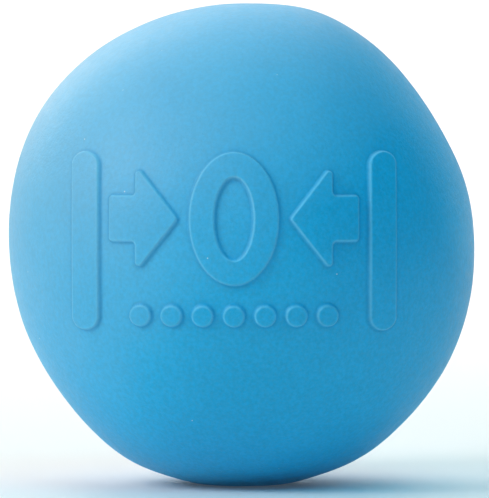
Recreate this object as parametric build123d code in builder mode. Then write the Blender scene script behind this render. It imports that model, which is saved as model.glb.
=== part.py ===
"""A large squeeze ball: a thick moulded rubber skin round a soft dough filling.

The ball is nearly round. Its soft filling lets it settle onto a small flat, and it has
been squeezed a little out of true. The front carries a raised pictogram: a ball pressed
between two arrows and two walls, over a row of dots. The filling goes in through a port
in the middle of the back, which a barbed rubber plug, bedded in adhesive, closes.

Millimetres, +Z up, front towards -Y. The origin is the middle of the flat it rests on.
"""

from build123d import *
from math import asin, cos, degrees, pi, radians, sin
import os

# Overall size, and the width of the flat it rests on
BALL_WIDTH = 100.0
BALL_DEPTH = 98.0
BALL_HEIGHT = 102.8
REST_WIDTH = 22.0

# Skin, the clearance that the filling keeps from everything round it, and the air that
# is left between the filling and the plug
SKIN_WALL = 3.2
FILLING_GAP = 0.1
AIR_SPACE = 5.0

# Filling port: a bore through a collar that stands inside the back of the skin
PORT_BORE = 12.0
COLLAR_LENGTH = 9.0
COLLAR_RIM = 1.6

# Plug that closes the port, and the adhesive between its head and the seat
SEAT_DEPTH = 2.6
PLUG_HEAD_WIDTH = 17.6
PLUG_HEAD_SINK = 0.25
STEM_CLEARANCE = 0.05
BARB_WIDTH = 14.5
BARB_TIP_WIDTH = 8.0
BARB_LENGTH = 3.4
BARB_CLEARANCE = 0.1
ADHESIVE_BED = 0.25
ADHESIVE_RING = 0.5
ADHESIVE_SINK = 0.5

# Raised pictogram on the front, placed right of and above the middle of the ball
RELIEF_HEIGHT = 0.8
RELIEF_RIGHT = -1.4
RELIEF_UP = 2.5
RELIEF_GAP = 2.2
WALL_BAR_WIDTH = 5.6
WALL_BAR_HEIGHT = 36.8
RING_WIDTH = 18.4
RING_HEIGHT = 27.2
RING_STROKE = 5.2
ARROW_LENGTH = 14.2
ARROW_SHAFT_WIDTH = 9.4
ARROW_HEAD_LENGTH = 8.8
ARROW_HEAD_WIDTH = 22.4
ARROW_FILLET = 0.8
DOT_WIDTH = 4.4
DOT_PITCH = 6.4
DOT_COUNT = 7

# Shape of the ball, level by level from just above the flat to the top: the angle up
# from the bottom, the shift to the right in mm, and the width against a true sphere's
LEVELS = [
    (25.0, 0.35, 1.007),
    (35.0, 0.50, 1.003),
    (45.0, 0.75, 0.989),
    (55.0, 0.85, 0.989),
    (65.0, 0.70, 0.993),
    (75.0, 0.50, 0.995),
    (90.0, 0.15, 0.998),
    (105.0, -0.35, 1.004),
    (115.0, -0.95, 1.005),
    (125.0, -1.30, 1.007),
    (135.0, -1.10, 1.013),
    (145.0, -0.40, 1.028),
    (155.0, 0.50, 1.061),
    (165.0, 1.70, 1.132),
    (172.0, 2.20, 1.205),
    (177.0, 2.30, 1.440),
]
POINTS_ROUND = 12

rest_angle = degrees(asin(REST_WIDTH / BALL_WIDTH))


def level_height(angle):
    """Height of the level at this angle up from the bottom of the ball."""
    rest_cosine = cos(radians(rest_angle))
    return BALL_HEIGHT * (rest_cosine - cos(radians(angle))) / (rest_cosine + 1)


middle_height = level_height(90)


def ball_form(inset):
    """Solid of the ball's outside shape, its surface moved in by inset."""
    turns = [2 * pi * n / POINTS_ROUND for n in range(POINTS_ROUND)]
    across = 1 - 2 * inset / BALL_WIDTH
    deep = 1 - 2 * inset / BALL_DEPTH
    tall = 1 - 2 * inset / BALL_HEIGHT
    with BuildPart() as form:
        for angle, shift, fullness in [(rest_angle, 0.0, 1.0)] + LEVELS:
            half_width = BALL_WIDTH / 2 * sin(radians(angle)) * fullness * across
            half_depth = BALL_DEPTH / 2 * sin(radians(angle)) * fullness * deep
            height = middle_height + (level_height(angle) - middle_height) * tall
            outline = [
                (shift * across + half_width * cos(t), half_depth * sin(t)) for t in turns
            ]
            with BuildSketch(Plane.XY.offset(height)):
                with BuildLine():
                    Spline(outline, periodic=True)
                make_face()
        loft()
    return form.part


# Planes across the port, whose normals point out of the back of the ball
back = Plane(
    origin=(0, BALL_DEPTH / 2, middle_height), x_dir=(-1, 0, 0), z_dir=(0, 1, 0)
)
seat = back.offset(-SEAT_DEPTH)
collar_end = back.offset(-COLLAR_LENGTH)
barb_start = collar_end.offset(-BARB_CLEARANCE)
barb_end = barb_start.offset(-BARB_LENGTH)
seat_width = PLUG_HEAD_WIDTH + 2 * ADHESIVE_RING
collar_width = seat_width + 2 * COLLAR_RIM


# Outline of the pictogram, in the plane of the front, about its own middle
ring_middle = (WALL_BAR_HEIGHT - RING_HEIGHT) / 2
dots_middle = (DOT_WIDTH - WALL_BAR_HEIGHT) / 2 + RELIEF_GAP / 2
arrow_tip = RING_WIDTH / 2 + RELIEF_GAP
arrow_neck = arrow_tip + ARROW_HEAD_LENGTH
arrow_tail = arrow_tip + ARROW_LENGTH
bar_middle = arrow_tail + RELIEF_GAP + WALL_BAR_WIDTH / 2

with BuildSketch() as arrow:
    with BuildLine():
        Polyline(
            (arrow_tip, ring_middle),
            (arrow_neck, ring_middle + ARROW_HEAD_WIDTH / 2),
            (arrow_neck, ring_middle + ARROW_SHAFT_WIDTH / 2),
            (arrow_tail, ring_middle + ARROW_SHAFT_WIDTH / 2),
            (arrow_tail, ring_middle - ARROW_SHAFT_WIDTH / 2),
            (arrow_neck, ring_middle - ARROW_SHAFT_WIDTH / 2),
            (arrow_neck, ring_middle - ARROW_HEAD_WIDTH / 2),
            close=True,
        )
    make_face()
    fillet(arrow.vertices(), ARROW_FILLET)

with BuildSketch() as pictogram:
    with Locations((0, ring_middle)):
        Ellipse(RING_WIDTH / 2, RING_HEIGHT / 2)
        Ellipse(
            RING_WIDTH / 2 - RING_STROKE,
            RING_HEIGHT / 2 - RING_STROKE,
            mode=Mode.SUBTRACT,
        )
    add(arrow.sketch)
    mirror(arrow.sketch, about=Plane.YZ)
    with Locations((-bar_middle, 0), (bar_middle, 0)):
        SlotOverall(WALL_BAR_HEIGHT, WALL_BAR_WIDTH, rotation=90)
    with Locations((0, dots_middle)):
        with GridLocations(DOT_PITCH, 0, DOT_COUNT, 1):
            Circle(DOT_WIDTH / 2)

# The raised layer, cut from a slightly larger ball by the pictogram's outline
front = Plane(
    origin=(RELIEF_RIGHT, 0, middle_height + RELIEF_UP), x_dir=(1, 0, 0), z_dir=(0, -1, 0)
)

with BuildPart() as relief:
    add(ball_form(-RELIEF_HEIGHT))
    with BuildSketch(front):
        add(pictogram.sketch)
    extrude(amount=BALL_DEPTH, mode=Mode.INTERSECT)

with BuildPart() as outer_skin:
    add(ball_form(0))
    add(relief.part)
    add(ball_form(SKIN_WALL), mode=Mode.SUBTRACT)
    with BuildSketch(collar_end):
        Circle(collar_width / 2)
    extrude(amount=COLLAR_LENGTH - SKIN_WALL / 2)
    with BuildSketch(seat):
        Circle(seat_width / 2)
    extrude(amount=BALL_DEPTH / 2, mode=Mode.SUBTRACT)
    with BuildSketch(collar_end):
        Circle(PORT_BORE / 2)
    extrude(amount=COLLAR_LENGTH, mode=Mode.SUBTRACT)
outer_skin.part.label = "outer_skin"

with BuildPart() as fill_plug:
    with BuildSketch(seat.offset(ADHESIVE_BED)):
        Circle(PLUG_HEAD_WIDTH / 2)
    extrude(amount=SEAT_DEPTH)
    add(ball_form(PLUG_HEAD_SINK), mode=Mode.INTERSECT)
    with BuildSketch(barb_start):
        Circle(PORT_BORE / 2 - STEM_CLEARANCE)
    extrude(amount=COLLAR_LENGTH - SEAT_DEPTH + BARB_CLEARANCE + ADHESIVE_BED)
    with BuildSketch(barb_start):
        Circle(BARB_WIDTH / 2)
    with BuildSketch(barb_end):
        Circle(BARB_TIP_WIDTH / 2)
    loft()
fill_plug.part.label = "fill_plug"

with BuildPart() as plug_adhesive:
    with BuildSketch(seat):
        Circle(seat_width / 2)
        Circle(PORT_BORE / 2, mode=Mode.SUBTRACT)
    extrude(amount=ADHESIVE_BED)
    with BuildSketch(seat):
        Circle(seat_width / 2)
        Circle(PLUG_HEAD_WIDTH / 2, mode=Mode.SUBTRACT)
    extrude(amount=SEAT_DEPTH)
    add(ball_form(ADHESIVE_SINK), mode=Mode.INTERSECT)
plug_adhesive.part.label = "plug_adhesive"

with BuildPart() as filling:
    add(ball_form(SKIN_WALL + FILLING_GAP))
    with BuildSketch(collar_end.offset(-FILLING_GAP)):
        Circle(collar_width / 2 + FILLING_GAP)
    extrude(amount=COLLAR_LENGTH, mode=Mode.SUBTRACT)
    with BuildSketch(barb_end.offset(-AIR_SPACE)):
        Circle(BARB_WIDTH / 2 + FILLING_GAP)
    extrude(amount=AIR_SPACE + BARB_LENGTH + COLLAR_LENGTH, mode=Mode.SUBTRACT)
filling.part.label = "filling"

os.makedirs("parts", exist_ok=True)
for piece in (outer_skin, filling, fill_plug, plug_adhesive):
    export_step(piece.part, f"parts/{piece.part.label}.step")
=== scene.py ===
from math import atan2, cos, exp, hypot, pi, radians, sin, tan

import bmesh
import bpy
import numpy as np
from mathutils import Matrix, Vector, noise
from mathutils.bvhtree import BVHTree


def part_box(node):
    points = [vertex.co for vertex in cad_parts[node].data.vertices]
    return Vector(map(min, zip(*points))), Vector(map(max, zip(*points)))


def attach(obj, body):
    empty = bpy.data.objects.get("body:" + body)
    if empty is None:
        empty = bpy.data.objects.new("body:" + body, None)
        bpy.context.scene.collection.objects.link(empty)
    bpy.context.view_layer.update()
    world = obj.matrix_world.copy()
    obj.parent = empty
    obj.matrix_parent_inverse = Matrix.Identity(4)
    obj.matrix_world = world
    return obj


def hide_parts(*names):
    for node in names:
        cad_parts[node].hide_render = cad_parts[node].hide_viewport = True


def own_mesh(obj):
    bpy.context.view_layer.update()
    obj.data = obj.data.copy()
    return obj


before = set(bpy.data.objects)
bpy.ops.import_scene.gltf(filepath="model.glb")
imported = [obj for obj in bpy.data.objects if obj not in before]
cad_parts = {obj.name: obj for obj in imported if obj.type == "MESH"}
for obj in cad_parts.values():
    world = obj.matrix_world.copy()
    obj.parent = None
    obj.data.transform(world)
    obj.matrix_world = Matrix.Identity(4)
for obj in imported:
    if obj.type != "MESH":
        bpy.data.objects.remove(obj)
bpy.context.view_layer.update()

# ---------------------------------------------------------------- sizes
MM = 0.001

skin_low, skin_high = (Vector(corner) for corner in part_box("outer_skin"))
filling_low, filling_high = (Vector(corner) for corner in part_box("filling"))
plug_low, plug_high = (Vector(corner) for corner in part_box("fill_plug"))
bead_low, bead_high = (Vector(corner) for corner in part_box("plug_adhesive"))

# The middle of the ball, which the port's axis runs through, along Y
middle = Vector((0, 0, (plug_low.z + plug_high.z) / 2))
filling_share = (filling_high.z - filling_low.z) / (skin_high.z - skin_low.z)

# Port, collar, seat and plug: widths about the axis, and places along it
SEAT_DEPTH = 2.6 * MM
COLLAR_LENGTH = 9.0 * MM
COLLAR_RIM = 1.6 * MM
COLLAR_SIDE = 2.0 * MM
PORT_RADIUS = 6.0 * MM
GAP = 0.1 * MM
BED = 0.25 * MM
BARB_RADIUS = 7.25 * MM
BARB_TIP_RADIUS = 4.0 * MM
BARB_LENGTH = 3.4 * MM
AIR_SPACE = 5.0 * MM
head_radius = (plug_high.x - plug_low.x) / 2
seat_radius = (bead_high.x - bead_low.x) / 2
collar_radius = seat_radius + COLLAR_RIM
seat_y = bead_low.y
collar_end_y = seat_y + SEAT_DEPTH - COLLAR_LENGTH
pocket_end_y = plug_low.y - AIR_SPACE
inside_share = filling_share + 2 * GAP / (skin_high.x - skin_low.x)

# How far each corner of the turned shapes is eased
ROUNDING = 0.45 * MM
HOLLOW_EASE = 1.0 * MM
HEAD_EASE = 0.5 * MM
HEAD_FOOT_EASE = 0.3 * MM
STEM_EASE = 0.2 * MM
BARB_EASE = 0.25 * MM
BARB_TIP_EASE = 0.8 * MM

# The plug's face, from its middle outwards, in mm: a gate mark by its rise above the
# middle, then the dome with a ring groove by its depth below the dome
GATE_MARK = ((0, -0.10), (0.45, -0.06), (0.75, 0.10), (1.05, 0.10), (1.35, 0))
DOME_AND_GROOVE = (
    (2.0, 0), (3.0, 0), (4.0, 0), (5.0, 0), (5.6, 0),
    (5.75, 0.05), (5.9, 0.18), (6.15, 0.18), (6.3, 0.05), (6.45, 0),
    (7.0, 0), (7.6, 0), (8.0, 0),
)

# The adhesive's bead: sunk below the plug's dome, hollowed across, and rippled along
BEAD_SINK = 0.45 * MM
BEAD_HOLLOW = 0.16 * MM
BEAD_POINTS = 7
BEAD_RIPPLE = 0.12 * MM
BEAD_RIPPLE_SIZE = 2.5 * MM

# Cells of the meshes, and how often their form is smoothed
COARSE_CUTS = 55
INSIDE_CUTS = 31
FINE_CUTS = 7
FORM_ROUNDS = 13
FINE_ROUNDS = 4
TURNED_SIDES = 128
LIP_STEPS = 5
EASE_STEPS = 4

# Vertices closer than these are merged: on a cut rim, as a share of half their mean spacing,
# and where a turned profile meets its start
MERGE_SHARE = 0.4
SAME_PLACE = 0.001 * MM

# Edges sharper than this, in degrees, are shaded sharp: on turned pieces, and on soft ones
PLAIN_SHARP_ANGLE = 35
SOFT_SHARP_ANGLE = 60

# Drawing the form over the filling's pocket, which is taken a little wider than the collar
POCKET_MARGIN = 1.3
POCKET_ROUNDS = 500
POCKET_DRAW = 0.9

# Raised pictogram, and where a highlight is painted on its brow and shade is painted in its foot
RAISE = 0.8 * MM
FOOT = 0.55 * MM
BROW = 0.3 * MM
FOOT_SOFTNESS = 1.4
PAINTED_HIGHLIGHT_WIDTH = 0.2 * MM
PAINTED_SHADE_WIDTH = 0.4 * MM

# A CAD face is a wall of the pictogram if less than this share of its normal is along Y,
# and each wall is drawn out by this many metres
UPRIGHT_SHARE = 0.2
WALL_REACH = 1.0

# The faint line where the halves of the mould met
SEAM_RAISE = 0.12 * MM
SEAM_HALF_WIDTH = 0.35 * MM
SEAM_STRETCH = 14 * MM
SEAM_SHARE = 0.6
SEAM_SWING = 0.8

# How far the fine cells go past the pictogram, the port and the seam
RELIEF_MARGIN = 1.2 * MM
PORT_MARGIN = 4.0 * MM
SEAM_MARGIN = 1.0 * MM

# Swellings of the skin from handling, each by its height and size, and dents of the dough
SWELLINGS = ((0.07 * MM, 13 * MM), (0.02 * MM, 4 * MM))
DENT_DEPTH = 0.6 * MM
DENT_SIZE = 9 * MM


# ---------------------------------------------------------------- form of the ball
def node_surface(name):
    """Ray-casting tree of a CAD node."""
    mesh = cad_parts[name].data
    corners = [vertex.co.copy() for vertex in mesh.vertices]
    return BVHTree.FromPolygons(corners, [tuple(face.vertices) for face in mesh.polygons])


def relaxed(values, bm, rounds, draw=0.5, free=None):
    """Values on the vertices, each drawn to the mean of its neighbours, round by round."""
    bm.verts.index_update()
    pairs = np.array([[vertex.index for vertex in edge.verts] for edge in bm.edges])
    first, second = pairs[:, 0], pairs[:, 1]
    size = len(values)
    count = np.bincount(pairs.ravel(), minlength=size)
    for _ in range(rounds):
        total = np.bincount(first, values[second], size)
        total += np.bincount(second, values[first], size)
        step = draw * (total / count - values)
        values = values + (step if free is None else np.where(free, step, 0))
    return values


def round_grid(cuts):
    """Cube whose grid is blown up to a sphere of radius 1, with nearly square cells."""
    bm = bmesh.new()
    bmesh.ops.create_cube(bm, size=2)
    bmesh.ops.subdivide_edges(bm, edges=bm.edges[:], cuts=cuts, use_grid_fill=True)
    for vertex in bm.verts:
        vertex.co = Vector([tan(part * pi / 4) for part in vertex.co]).normalized()
    return bm


def measured_reach(bm):
    """How far the ball's smooth form reaches from its middle, towards each vertex.

    The filling has the ball's form without the pictogram. Over its pocket for the port,
    the reach is drawn smoothly from all round.
    """
    surface = node_surface("filling")
    pocket = cos(POCKET_MARGIN * atan2(collar_radius, collar_end_y))
    reach = np.array([surface.ray_cast(middle, v.co)[3] for v in bm.verts]) / filling_share
    free = np.array([v.co.y > pocket for v in bm.verts])
    reach[free] = skin_high.y
    reach = relaxed(reach, bm, POCKET_ROUNDS, draw=POCKET_DRAW, free=free)
    return relaxed(reach, bm, FORM_ROUNDS)


def refine(bm, reach_layer, wanted):
    """Divides the cells whose middle, on the ball, is wanted."""
    edges = set()
    for face in bm.faces:
        reach = sum(vertex[reach_layer] for vertex in face.verts) / len(face.verts)
        if wanted(middle + face.calc_center_median().normalized() * reach):
            edges.update(face.edges)
    bmesh.ops.subdivide_edges(bm, edges=list(edges), cuts=FINE_CUTS, use_grid_fill=True)


def ball_sheet(cuts, share=1, wanted=None):
    """The ball's form, scaled about its middle by share, with finer cells where wanted."""
    bm = round_grid(cuts)
    layer = bm.verts.layers.float.new("reach")
    for vertex, reach in zip(bm.verts, measured_reach(bm)):
        vertex[layer] = reach
    if wanted:
        refine(bm, layer, wanted)
    reaches = relaxed(np.array([v[layer] for v in bm.verts]), bm, FINE_ROUNDS)
    for vertex, reach in zip(bm.verts, reaches):
        vertex.co = middle + vertex.co.normalized() * reach * share
        vertex.co.z = max(vertex.co.z, middle.z * (1 - share))
    bm.normal_update()
    return bm


# ---------------------------------------------------------------- turned shapes about the port
def from_axis(point):
    """Distance of a point from the port's axis."""
    return hypot(point.x, point.z - middle.z)


def cut_port(bm, radius):
    """Cuts a round hole in the back, and returns the vertices of its rim in order."""
    inside = [v for v in bm.verts if v.co.y > 0 and from_axis(v.co) < radius]
    bmesh.ops.delete(bm, geom=inside, context="VERTS")
    rim = {vertex for edge in bm.edges if edge.is_boundary for vertex in edge.verts}
    for vertex in rim:
        share = radius / from_axis(vertex.co)
        vertex.co.x *= share
        vertex.co.z = middle.z + (vertex.co.z - middle.z) * share
    half_spacing = radius * pi / len(rim)
    bmesh.ops.remove_doubles(bm, verts=list(rim), dist=MERGE_SHARE * half_spacing)
    rim = {vertex for edge in bm.edges if edge.is_boundary for vertex in edge.verts}
    return sorted(rim, key=lambda v: atan2(v.co.z - middle.z, v.co.x))


def new_ring(bm, angles, radius, along):
    """A ring of new vertices about the port's axis, at that place along it."""
    return [bm.verts.new((radius * cos(a), along, middle.z + radius * sin(a))) for a in angles]


def turn_on(bm, ring, steps):
    """Carries a ring of vertices on as more rings, each at a (radius, place along the axis).

    A radius of 0 closes the shape with a single vertex.
    """
    angles = [atan2(v.co.z - middle.z, v.co.x) for v in ring]
    for radius, along in steps:
        if radius == 0:
            tip = bm.verts.new((0, along, middle.z))
            for this, last in zip(ring, ring[-1:] + ring[:-1]):
                bm.faces.new((this, last, tip))
            return
        new = new_ring(bm, angles, radius, along)
        for k in range(len(ring)):
            bm.faces.new((ring[k], ring[k - 1], new[k - 1], new[k]))
        ring = new


def turned(profile):
    """Closed solid of a profile of (radius, place) points turned about the port's axis.

    A profile that starts and ends on the axis is closed there, and any other joins its start.
    """
    bm = bmesh.new()
    on_axis = profile[0][0] == 0
    radius, along = profile[1] if on_axis else profile[0]
    ring = new_ring(bm, np.linspace(-pi, pi, TURNED_SIDES, endpoint=False), radius, along)
    if on_axis:
        turn_on(bm, ring, profile[:1])
        turn_on(bm, ring, profile[2:])
    else:
        turn_on(bm, ring, profile[1:] + profile[:1])
        bmesh.ops.remove_doubles(bm, verts=bm.verts[:], dist=SAME_PLACE)
    return bm


def eased(points):
    """A profile of (radius, place, ease) points, with a curve of that ease at each corner."""
    spots = [np.array(point[:2], float) for point in points]
    profile = [tuple(spots[0])]
    for k in range(1, len(points) - 1):
        ease = points[k][2]
        if not ease:
            profile.append(tuple(spots[k]))
            continue
        first, last = (
            spots[k] + ease * (spots[j] - spots[k]) / np.linalg.norm(spots[j] - spots[k])
            for j in (k - 1, k + 1)
        )
        for t in np.linspace(0, 1, EASE_STEPS + 1):
            spot = (1 - t) ** 2 * first + 2 * t * (1 - t) * spots[k] + t * t * last
            profile.append(tuple(spot))
    return profile + [tuple(spots[-1])]


def finished(bm, name, body, sharp_angle=PLAIN_SHARP_ANGLE):
    """Makes the mesh into a named piece that rides on a body."""
    bmesh.ops.recalc_face_normals(bm, faces=bm.faces[:])
    mesh = bpy.data.meshes.new(name)
    bm.to_mesh(mesh)
    bm.free()
    mesh.shade_smooth()
    mesh.set_sharp_from_angle(angle=radians(sharp_angle))
    piece = bpy.data.objects.new(name, mesh)
    bpy.context.scene.collection.objects.link(piece)
    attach(piece, body)
    return piece


# ---------------------------------------------------------------- raised pictogram
def pictogram_walls():
    """The pictogram's outline, from the CAD skin: a tree of upright walls, and their normals.

    The CAD's walls stand along Y. Each is drawn out along Y, far past the ball both ways, so
    the nearest wall to a point is the nearest in a front view. Also returns the low and the
    high corner of the outline.
    """
    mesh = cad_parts["outer_skin"].data
    front_end = skin_low.y / 2
    corners, walls, normals = [], [], []
    for face in mesh.polygons:
        if abs(face.normal.y) > UPRIGHT_SHARE or face.center.y > front_end:
            continue
        points = [mesh.vertices[k].co for k in face.vertices]
        pairs = [(a, b) for a in points for b in points]
        start, end = max(pairs, key=lambda ab: hypot(ab[0].x - ab[1].x, ab[0].z - ab[1].z))
        walls.append(tuple(range(len(corners), len(corners) + 4)))
        corners += [(p.x, -WALL_REACH, p.z) for p in (start, end)]
        corners += [(p.x, WALL_REACH, p.z) for p in (end, start)]
        normals.append(face.normal.copy())
    low = Vector((min(c[0] for c in corners), 0, min(c[2] for c in corners)))
    high = Vector((max(c[0] for c in corners), 0, max(c[2] for c in corners)))
    return BVHTree.FromPolygons(corners, walls), normals, low, high


walls, wall_normals, relief_low, relief_high = pictogram_walls()


def near_pictogram(point):
    """Whether a point is on the front, where the pictogram is or close by."""
    return (
        point.y < 0
        and relief_low.x - RELIEF_MARGIN < point.x < relief_high.x + RELIEF_MARGIN
        and relief_low.z - RELIEF_MARGIN < point.z < relief_high.z + RELIEF_MARGIN
    )


def near_port(point):
    """Whether a point is on the back, where the port is or close by."""
    return point.y > 0 and from_axis(point) < seat_radius + PORT_MARGIN


def near_seam(point):
    """Whether a point is close to the line where the mould's halves met."""
    return abs(point.y) < SEAM_HALF_WIDTH + SEAM_MARGIN


def fine_place(point):
    """Whether the skin needs fine cells at a point."""
    return near_pictogram(point) or near_port(point) or near_seam(point)


def raise_pictogram(bm):
    """Lifts the pictogram: a wide soft foot outside its outline, and a tight rounded brow inside.

    Two attributes say where a highlight is painted, on the brow, and where shade is painted, in
    the crease of the foot.
    """
    painted_brow_highlight = bm.verts.layers.float.new("painted_brow_highlight")
    painted_crease_shade = bm.verts.layers.float.new("painted_crease_shade")
    for vertex in [v for v in bm.verts if near_pictogram(v.co)]:
        flat = Vector((vertex.co.x, 0, vertex.co.z))
        nearest, _, index, distance = walls.find_nearest(flat)
        if (flat - nearest).dot(wall_normals[index]) < 0:
            distance = -distance
        climb = min(max((FOOT - distance) / (FOOT + BROW), 0), 1) ** FOOT_SOFTNESS
        vertex.co += vertex.normal * RAISE * climb * climb * (3 - 2 * climb)
        # painted highlight along the brow
        vertex[painted_brow_highlight] = exp(-(((distance + BROW / 2) / PAINTED_HIGHLIGHT_WIDTH) ** 2))
        # painted shade in the crease of the foot
        vertex[painted_crease_shade] = exp(-(((distance - FOOT / 2) / PAINTED_SHADE_WIDTH) ** 2))


def raise_seam(bm):
    """A faint raised line round the ball, higher in some stretches than in others."""
    for vertex in bm.verts:
        across = 1 - abs(vertex.co.y) / SEAM_HALF_WIDTH
        if across > 0:
            height = SEAM_SHARE + SEAM_SWING * noise.noise(vertex.co / SEAM_STRETCH)
            vertex.co += vertex.normal * SEAM_RAISE * across * max(height, 0)
            vertex.co.z = max(vertex.co.z, 0)


def knead(bm):
    """Slight dents and swellings that handling leaves in the soft ball."""
    for vertex in bm.verts:
        swell = sum(height * noise.noise(vertex.co / size) for height, size in SWELLINGS)
        vertex.co += vertex.normal * swell
        vertex.co.z = max(vertex.co.z, 0)


# ---------------------------------------------------------------- pieces
def add_lining(bm):
    """Adds the skin's inside to its outside, and joins the two at the end of the collar."""
    inside = ball_sheet(INSIDE_CUTS, share=inside_share)
    cut_port(inside, collar_radius)
    lining = bpy.data.meshes.new("lining")
    inside.to_mesh(lining)
    inside.free()
    bm.from_mesh(lining)
    bpy.data.meshes.remove(lining)
    bmesh.ops.bridge_loops(bm, edges=[edge for edge in bm.edges if edge.is_boundary])


def make_skin():
    """The moulded skin: outside with its pictogram, port, collar and inside, all one sheet."""
    bm = ball_sheet(COARSE_CUTS, wanted=fine_place)
    knead(bm)
    bm.normal_update()
    raise_seam(bm)
    raise_pictogram(bm)
    rim = cut_port(bm, seat_radius + ROUNDING)
    rim_y = sum(vertex.co.y for vertex in rim) / len(rim)
    lip = [
        (seat_radius + ROUNDING * (1 - sin(a)), rim_y - ROUNDING * (1 - cos(a)))
        for a in np.linspace(0, pi / 2, LIP_STEPS + 1)[1:]
    ]
    within = eased([
        (seat_radius, lip[-1][1], 0),
        (seat_radius, seat_y, ROUNDING / 2),
        (PORT_RADIUS, seat_y, ROUNDING / 2),
        (PORT_RADIUS, collar_end_y, ROUNDING),
        (collar_radius, collar_end_y, ROUNDING),
        (collar_radius, collar_end_y + COLLAR_SIDE, 0),
    ])
    turn_on(bm, rim, lip + within[1:])
    add_lining(bm)
    piece = finished(bm, "squeeze_skin", "ball", SOFT_SHARP_ANGLE)
    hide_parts("outer_skin")
    return piece


def make_filling():
    """The dough, pressed against the skin, with a hollow of trapped air behind the plug."""
    bm = ball_sheet(INSIDE_CUTS, share=filling_share)
    bm.normal_update()
    for vertex in bm.verts:
        dent = max(0, noise.noise(vertex.co / DENT_SIZE))
        vertex.co -= vertex.normal * dent * DENT_DEPTH
    rim = cut_port(bm, collar_radius + GAP)
    hollow = eased([
        (collar_radius + GAP, rim[0].co.y, 0),
        (collar_radius + GAP, collar_end_y - GAP, ROUNDING),
        (BARB_RADIUS + GAP, collar_end_y - GAP, ROUNDING),
        (BARB_RADIUS + GAP, pocket_end_y, HOLLOW_EASE),
        (0, pocket_end_y, 0),
    ])
    turn_on(bm, rim, hollow[1:])
    piece = finished(bm, "dough_filling", "ball", SOFT_SHARP_ANGLE)
    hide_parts("filling")
    return piece


def dome_y(radius, sink=0.0):
    """Place along the axis of the plug's dome, or of a face sunk below it."""
    back_curve = skin_high.x ** 2 / skin_high.y
    return plug_high.y - sink - radius ** 2 / (2 * back_curve)


def make_plug():
    """The moulded plug: domed head with a gate mark and a ring, stem and barbed tip."""
    gate = [(r * MM, dome_y(0) + rise * MM, 0) for r, rise in GATE_MARK]
    dome = [(r * MM, dome_y(r * MM, sink * MM), 0) for r, sink in DOME_AND_GROOVE]
    stem_radius = PORT_RADIUS - GAP / 2
    barb_y = collar_end_y - GAP
    under = [
        (head_radius, dome_y(head_radius), HEAD_EASE),
        (head_radius, seat_y + BED, HEAD_FOOT_EASE),
        (stem_radius, seat_y + BED, STEM_EASE),
        (stem_radius, barb_y, STEM_EASE),
        (BARB_RADIUS, barb_y, BARB_EASE),
        (BARB_TIP_RADIUS, barb_y - BARB_LENGTH, BARB_TIP_EASE),
        (0, barb_y - BARB_LENGTH, 0),
    ]
    piece = finished(turned(eased(gate + dome + under)), "fill_port_plug", "closure")
    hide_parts("fill_plug")
    return piece


def make_bead():
    """The cured adhesive: a bed under the plug's head, and a hollowed bead round it."""
    top = dome_y(seat_radius, BEAD_SINK)
    width = seat_radius - head_radius
    face = [
        (head_radius + width * t, top + BEAD_HOLLOW * (2 * t - 1) ** 2)
        for t in np.linspace(0, 1, BEAD_POINTS)
    ]
    profile = [(PORT_RADIUS, seat_y + BED), (head_radius, seat_y + BED)] + face
    profile += [(seat_radius, seat_y), (PORT_RADIUS, seat_y)]
    bm = turned(profile)
    for vertex in bm.verts:
        if vertex.co.y > top - GAP:
            vertex.co.y += BEAD_RIPPLE * noise.noise(vertex.co / BEAD_RIPPLE_SIZE)
    piece = finished(bm, "plug_glue_bead", "closure")
    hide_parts("plug_adhesive")
    return piece


skin = make_skin()
filling = make_filling()
plug = make_plug()
bead = make_bead()

# The soft pieces each get a mesh of their own
for piece in (skin, filling):
    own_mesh(piece)


# ---------------------------------------------------------------- materials
# Colours are linear red, green and blue, with opacity
DEEP_BLUE = (0.002, 0.435, 0.78, 1)
PALE_BLUE = (0.003, 0.465, 0.82, 1)
# pale powder; the same colour is also painted as a sheen towards the upper left, where the light
# falls
POWDER_AND_PAINTED_SHEEN = (0.45, 0.62, 0.72, 1)
# painted shade for the creases round the pictogram
PAINTED_SHADE_BLUE = (0.002, 0.22, 0.5, 1)
# painted highlight for the pictogram's brows
PAINTED_HIGHLIGHT_BLUE = (0.35, 0.82, 1.0, 1)
PALE_FLECK = (0.6, 0.75, 0.85, 1)
DOUGH_SHADE = (0.78, 0.72, 0.60, 1)
DOUGH_LIGHT = (0.86, 0.82, 0.72, 1)
PLUG_SHADE = (0.010, 0.285, 0.60, 1)
PLUG_LIGHT = (0.014, 0.315, 0.64, 1)
GLUE_SHADE = (0.22, 0.45, 0.62, 1)
GLUE_LIGHT = (0.42, 0.62, 0.74, 1)
RUBBER_IOR = 1.40

# The painted sheen, a pale colour painted thickest towards the upper left where the light falls:
# the way it thickens, how cloudy it is, and its size and greatest share
PAINTED_SHEEN_TOWARDS = (-0.67, 0, 0.74)
PAINTED_SHEEN_CLOUDINESS = 0.3
PAINTED_SHEEN_CLOUD_SIZE = 18 * MM
PAINTED_SHEEN_MOST = 0.5
PAINTED_SHEEN_START = 0.75
PAINTED_SHEEN_FULL = 2.0

# How strongly the painted highlight on the brows and the painted shade in the creases show
PAINTED_HIGHLIGHT_SHARE = 0.3
PAINTED_SHADE_SHARE = 0.3

# Specks of powder: how far apart they are, and their solid and outer radius as a share of that
SPECK_SPACING = 6 * MM
SPECK_SOLID = 0.015
SPECK_EDGE = 0.03

# Nearly all of a noise lies between these
NOISE_LOW = 0.35
NOISE_HIGH = 0.65

# Places of a colour mix node's sockets
MIX_SHARE = 0
MIX_FIRST = 6
MIX_SECOND = 7
MIX_RESULT = 2


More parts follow.
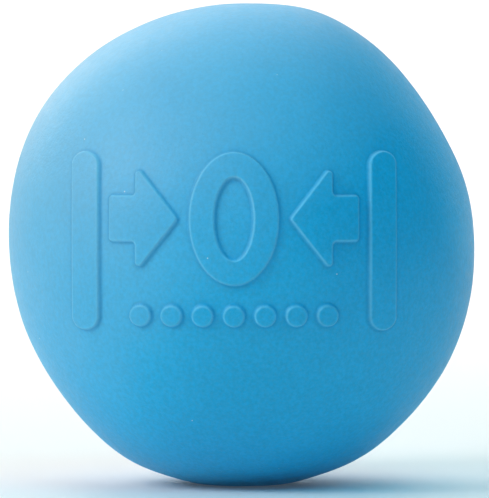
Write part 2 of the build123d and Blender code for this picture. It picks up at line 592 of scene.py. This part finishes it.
class Recipe:
    """A node material, with short ways to add nodes that drive its shader."""

    def __init__(self, name):
        self.material = bpy.data.materials.new(name)
        self.material.use_nodes = True
        self.nodes = self.material.node_tree.nodes
        self.links = self.material.node_tree.links
        self.shader = self.nodes["Principled BSDF"]
        self.where = self.nodes.new("ShaderNodeTexCoord").outputs["Object"]

    def drive(self, name, value):
        """Drives an input of the shader."""
        self.links.new(value, self.shader.inputs[name])

    def noise(self, size, detail=2.0, rough=0.5):
        """Noise with features of that size in metres."""
        node = self.nodes.new("ShaderNodeTexNoise")
        node.inputs["Scale"].default_value = 1 / size
        node.inputs["Detail"].default_value = detail
        node.inputs["Roughness"].default_value = rough
        self.links.new(self.where, node.inputs["Vector"])
        return node.outputs["Fac"]

    def mapped(self, value, low, high, start=NOISE_LOW, end=NOISE_HIGH):
        """Maps a value from start..end to low..high, clamped."""
        node = self.nodes.new("ShaderNodeMapRange")
        node.inputs["From Min"].default_value = start
        node.inputs["From Max"].default_value = end
        node.inputs["To Min"].default_value = low
        node.inputs["To Max"].default_value = high
        self.links.new(value, node.inputs["Value"])
        return node.outputs["Result"]

    def mix(self, share, first, second, blend="MIX"):
        """Mixes two colours, each a colour or an output."""
        node = self.nodes.new("ShaderNodeMix")
        node.data_type = "RGBA"
        node.blend_type = blend
        sockets = [node.inputs[place] for place in (MIX_SHARE, MIX_FIRST, MIX_SECOND)]
        for socket, value in zip(sockets, (share, first, second)):
            if isinstance(value, bpy.types.NodeSocket):
                self.links.new(value, socket)
            else:
                socket.default_value = value
        return node.outputs[MIX_RESULT]

    def bump(self, height, depth, strength, under=None):
        """Bump of that depth in metres, on top of another bump if there is one."""
        node = self.nodes.new("ShaderNodeBump")
        node.inputs["Distance"].default_value = depth
        node.inputs["Strength"].default_value = strength
        self.links.new(height, node.inputs["Height"])
        if under:
            self.links.new(under, node.inputs["Normal"])
        return node.outputs["Normal"]

    def attribute(self, name, share):
        """A number stored on the mesh, times a share."""
        stored = self.nodes.new("ShaderNodeAttribute")
        stored.attribute_name = name
        part = self.nodes.new("ShaderNodeMath")
        part.operation = "MULTIPLY"
        part.inputs[1].default_value = share
        self.links.new(stored.outputs["Fac"], part.inputs[0])
        return part.outputs["Value"]


def painted_sheen(rubber):
    """A pale sheen painted on the rubber, thickest towards the upper left where the light falls.
    Returns its share.
    """
    half_height = skin_high.z / 2
    across = rubber.nodes.new("ShaderNodeVectorMath")
    across.operation = "DOT_PRODUCT"
    across.inputs[1].default_value = [part / half_height for part in PAINTED_SHEEN_TOWARDS]
    rubber.links.new(rubber.where, across.inputs[0])
    cloud = rubber.nodes.new("ShaderNodeMath")
    cloud.operation = "MULTIPLY_ADD"
    cloud.inputs[1].default_value = PAINTED_SHEEN_CLOUDINESS
    rubber.links.new(rubber.noise(PAINTED_SHEEN_CLOUD_SIZE), cloud.inputs[0])
    rubber.links.new(across.outputs["Value"], cloud.inputs[2])
    return rubber.mapped(cloud.outputs["Value"], 0, PAINTED_SHEEN_MOST, start=PAINTED_SHEEN_START, end=PAINTED_SHEEN_FULL)


def specks(rubber):
    """Small specks, where points of a coarse pattern lie on the surface. Returns their share."""
    cells = rubber.nodes.new("ShaderNodeTexVoronoi")
    cells.inputs["Scale"].default_value = 1 / SPECK_SPACING
    rubber.links.new(rubber.where, cells.inputs["Vector"])
    return rubber.mapped(cells.outputs["Distance"], 1, 0, start=SPECK_SOLID, end=SPECK_EDGE)


def skin_colour(rubber):
    """Cloudy blue with a fine mottle, under a painted sheen, powder, painted shade in the
    creases, painted highlights on the brows, and specks.
    """
    cloud = rubber.mapped(rubber.noise(size=30 * MM), low=0, high=1)
    colour = rubber.mix(cloud, DEEP_BLUE, PALE_BLUE)
    mottle = rubber.noise(size=0.9 * MM, detail=3, rough=0.6)
    colour = rubber.mix(1.0, colour, rubber.mapped(mottle, low=0.93, high=1.07), "MULTIPLY")
    # painted sheen: paler towards the upper left, where the light falls
    colour = rubber.mix(painted_sheen(rubber), colour, POWDER_AND_PAINTED_SHEEN)
    powder = rubber.noise(size=0.55 * MM, detail=3, rough=0.7)
    colour = rubber.mix(rubber.mapped(powder, low=0, high=0.055), colour, POWDER_AND_PAINTED_SHEEN)
    # painted shade in the creases round the pictogram
    colour = rubber.mix(rubber.attribute("painted_crease_shade", PAINTED_SHADE_SHARE), colour, PAINTED_SHADE_BLUE)
    # painted highlight along the pictogram's brows
    colour = rubber.mix(rubber.attribute("painted_brow_highlight", PAINTED_HIGHLIGHT_SHARE), colour, PAINTED_HIGHLIGHT_BLUE)
    return rubber.mix(specks(rubber), colour, PALE_FLECK)


def skin_material():
    """Matte blue rubber with a moulded grain."""
    rubber = Recipe("blue_rubber")
    rubber.drive("Base Color", skin_colour(rubber))
    cloud = rubber.noise(size=2.2 * MM, detail=4, rough=0.6)
    rubber.drive("Roughness", rubber.mapped(cloud, low=0.42, high=0.52))
    peel = rubber.bump(rubber.noise(size=1.6 * MM), depth=0.06 * MM, strength=0.9)
    grain = rubber.noise(size=0.6 * MM, detail=3, rough=0.7)
    rubber.drive("Normal", rubber.bump(grain, depth=0.1 * MM, strength=1.0, under=peel))
    rubber.shader.inputs["IOR"].default_value = RUBBER_IOR
    return rubber.material


def dough_material():
    """Dense off-white dough with a floury grain."""
    dough = Recipe("pale_dough")
    cloud = dough.mapped(dough.noise(size=8 * MM), low=0, high=1)
    dough.drive("Base Color", dough.mix(cloud, DOUGH_SHADE, DOUGH_LIGHT))
    grain = dough.noise(size=0.8 * MM, detail=4, rough=0.7)
    dough.drive("Roughness", dough.mapped(grain, low=0.7, high=0.9))
    dough.drive("Normal", dough.bump(grain, depth=0.2 * MM, strength=0.7))
    return dough.material


def plug_material():
    """Smoother, slightly darker blue rubber, with fine rubbed marks."""
    rubber = Recipe("plug_blue_rubber")
    cloud = rubber.mapped(rubber.noise(size=5 * MM), low=0, high=1)
    rubber.drive("Base Color", rubber.mix(cloud, PLUG_SHADE, PLUG_LIGHT))
    marks = rubber.noise(size=1.2 * MM, detail=5, rough=0.7)
    rubber.drive("Roughness", rubber.mapped(marks, low=0.36, high=0.5))
    grain = rubber.noise(size=0.25 * MM, detail=3, rough=0.7)
    rubber.drive("Normal", rubber.bump(grain, depth=0.02 * MM, strength=0.5))
    return rubber.material


def glue_material():
    """Clear to milky cured adhesive, glossy, with faint clouds and ripples."""
    glue = Recipe("cured_glue")
    cloud = glue.mapped(glue.noise(size=1.5 * MM, detail=3), low=0, high=1)
    glue.drive("Base Color", glue.mix(cloud, GLUE_SHADE, GLUE_LIGHT))
    glue.drive("Roughness", glue.mapped(cloud, low=0.1, high=0.25, start=0, end=1))
    ripple = glue.noise(size=0.7 * MM)
    glue.drive("Normal", glue.bump(ripple, depth=0.05 * MM, strength=0.5))
    return glue.material


skin.data.materials.append(skin_material())
filling.data.materials.append(dough_material())
plug.data.materials.append(plug_material())
bead.data.materials.append(glue_material())


# ---------------------------------------------------------------- studio
# Paper sweep, in metres
SWEEP_HALF_WIDTH = 6.0
SWEEP_FRONT = -6.0
SWEEP_START = 2.1
SWEEP_CURVE = 0.8
SWEEP_TOP = 2.6
SWEEP_STEPS = 16
PAPER_WHITE = (0.95, 0.89, 0.88, 1)
PAPER_ROUGHNESS = 0.6
PAPER_GLOW = (1, 1, 1, 1)
PAPER_GLOW_STRENGTH = 0.04

# Tints of the lights, as linear red, green and blue
WHITE = (1, 1, 1)
WARM = (1.0, 0.9, 0.8)
AZURE = (0.08, 0.74, 1.0)
SEA_GREEN = (0.2, 1.0, 0.75)
PALE_CYAN = (0.5, 1.0, 1.0)
SKY = (0.05, 0.9, 1, 1)
SKY_STRENGTH = 0.01

# Soft lights on the ball: name, (azimuth, elevation, distance), width, height, power, tint.
# The key is from the left, the warmest is behind it, and the cool fill is on the right.
BALL_LIGHTS = (
    ("left", (-62, 32, 0.9), 0.45, 0.5, 4.3, WHITE),
    ("back_left", (-140, 30, 1.0), 0.7, 0.7, 3.2, WARM),
    ("right", (38, 50, 1.0), 0.8, 0.8, 3.7, AZURE),
    ("top", (0, 85, 1.0), 0.8, 0.8, 0.8, SEA_GREEN),
    ("rim", (140, 20, 0.9), 0.2, 0.8, 0.8, PALE_CYAN),
)

# White lights on the paper: name, place, target, width, height, power
PAPER_LIGHTS = (
    ("floor_back", (0, 0.85, 1.0), (0, 0.8, 0), 1.0, 1.5, 7.0),
    ("floor_front", (0, -0.5, 0.9), (0, 0.1, 0), 0.9, 0.6, 0.8),
    ("wall", (0, 1.6, 1.3), (0, 2.6, 0.1), 2.0, 0.4, 26.0),
)

# The camera: a long lens, a little above the ball's middle, with the ball nearly filling its view
CAMERA_DISTANCE = 1.2
CAMERA_ELEVATION = radians(2.0)
VIEW_WIDTH = 0.1047
SENSOR_WIDTH = 36
AIM_RIGHT = 0.64 * MM
AIM_DOWN = 1.07 * MM


def paper_material():
    """Plain white paper that glows faintly."""
    paper = bpy.data.materials.new("paper")
    paper.use_nodes = True
    shader = paper.node_tree.nodes["Principled BSDF"]
    shader.inputs["Base Color"].default_value = PAPER_WHITE
    shader.inputs["Roughness"].default_value = PAPER_ROUGHNESS
    shader.inputs["Emission Color"].default_value = PAPER_GLOW
    shader.inputs["Emission Strength"].default_value = PAPER_GLOW_STRENGTH
    return paper


def make_sweep():
    """White paper sweep: a floor that curves up behind the ball."""
    line = [(SWEEP_FRONT, 0.0), (SWEEP_START, 0.0)]
    line += [
        (SWEEP_START + SWEEP_CURVE * sin(a), SWEEP_CURVE * (1 - cos(a)))
        for a in np.linspace(0, pi / 2, SWEEP_STEPS + 1)[1:]
    ]
    line.append((SWEEP_START + SWEEP_CURVE, SWEEP_TOP))
    bm = bmesh.new()
    sides = (-SWEEP_HALF_WIDTH, SWEEP_HALF_WIDTH)
    left, right = ([bm.verts.new((x, y, z)) for y, z in line] for x in sides)
    for k in range(len(line) - 1):
        bm.faces.new((left[k], right[k], right[k + 1], left[k + 1]))
    mesh = bpy.data.meshes.new("paper_sweep")
    bm.to_mesh(mesh)
    bm.free()
    mesh.shade_smooth()
    mesh.materials.append(paper_material())
    sweep = bpy.data.objects.new("paper_sweep", mesh)
    bpy.context.scene.collection.objects.link(sweep)


def around_ball(azimuth, elevation, distance):
    """A place seen from the middle of the ball. Azimuth 0 is in front, 90 to the right."""
    a, e = radians(azimuth), radians(elevation)
    return middle + distance * Vector((sin(a) * cos(e), -cos(a) * cos(e), sin(e)))


def add_softbox(name, place, target, width, height, power, tint):
    """A rectangular soft light at one place that faces another."""
    light = bpy.data.lights.new(name, "AREA")
    light.shape = "RECTANGLE"
    light.size = width
    light.size_y = height
    light.energy = power
    light.color = tint
    lamp = bpy.data.objects.new(name, light)
    lamp.location = place
    lamp.rotation_euler = (Vector(target) - Vector(place)).to_track_quat("-Z", "Y").to_euler()
    bpy.context.scene.collection.objects.link(lamp)


def make_camera():
    """The camera in front of the ball."""
    aim_x = (skin_low.x + skin_high.x) / 2 + AIM_RIGHT
    aim = Vector((aim_x, 0, skin_high.z / 2 - AIM_DOWN))
    data = bpy.data.cameras.new("camera")
    data.sensor_fit = "HORIZONTAL"
    data.sensor_width = SENSOR_WIDTH
    data.lens = SENSOR_WIDTH * CAMERA_DISTANCE / VIEW_WIDTH
    camera = bpy.data.objects.new("camera", data)
    away = Vector((0, -cos(CAMERA_ELEVATION), sin(CAMERA_ELEVATION)))
    camera.location = aim + CAMERA_DISTANCE * away
    camera.rotation_euler = (aim - camera.location).to_track_quat("-Z", "Y").to_euler()
    bpy.context.scene.collection.objects.link(camera)
    bpy.context.scene.camera = camera


def make_world():
    """A trace of even light from all round."""
    world = bpy.data.worlds.new("studio")
    bpy.context.scene.world = world
    world.use_nodes = True
    sky = world.node_tree.nodes["Background"]
    sky.inputs["Color"].default_value = SKY
    sky.inputs["Strength"].default_value = SKY_STRENGTH


make_camera()
make_sweep()
for name, seen_at, width, height, power, tint in BALL_LIGHTS:
    add_softbox(name, around_ball(*seen_at), middle, width, height, power, tint)
for name, place, target, width, height, power in PAPER_LIGHTS:
    add_softbox(name, place, target, width, height, power, WHITE)
make_world()
bpy.context.scene.view_settings.view_transform = "Standard"
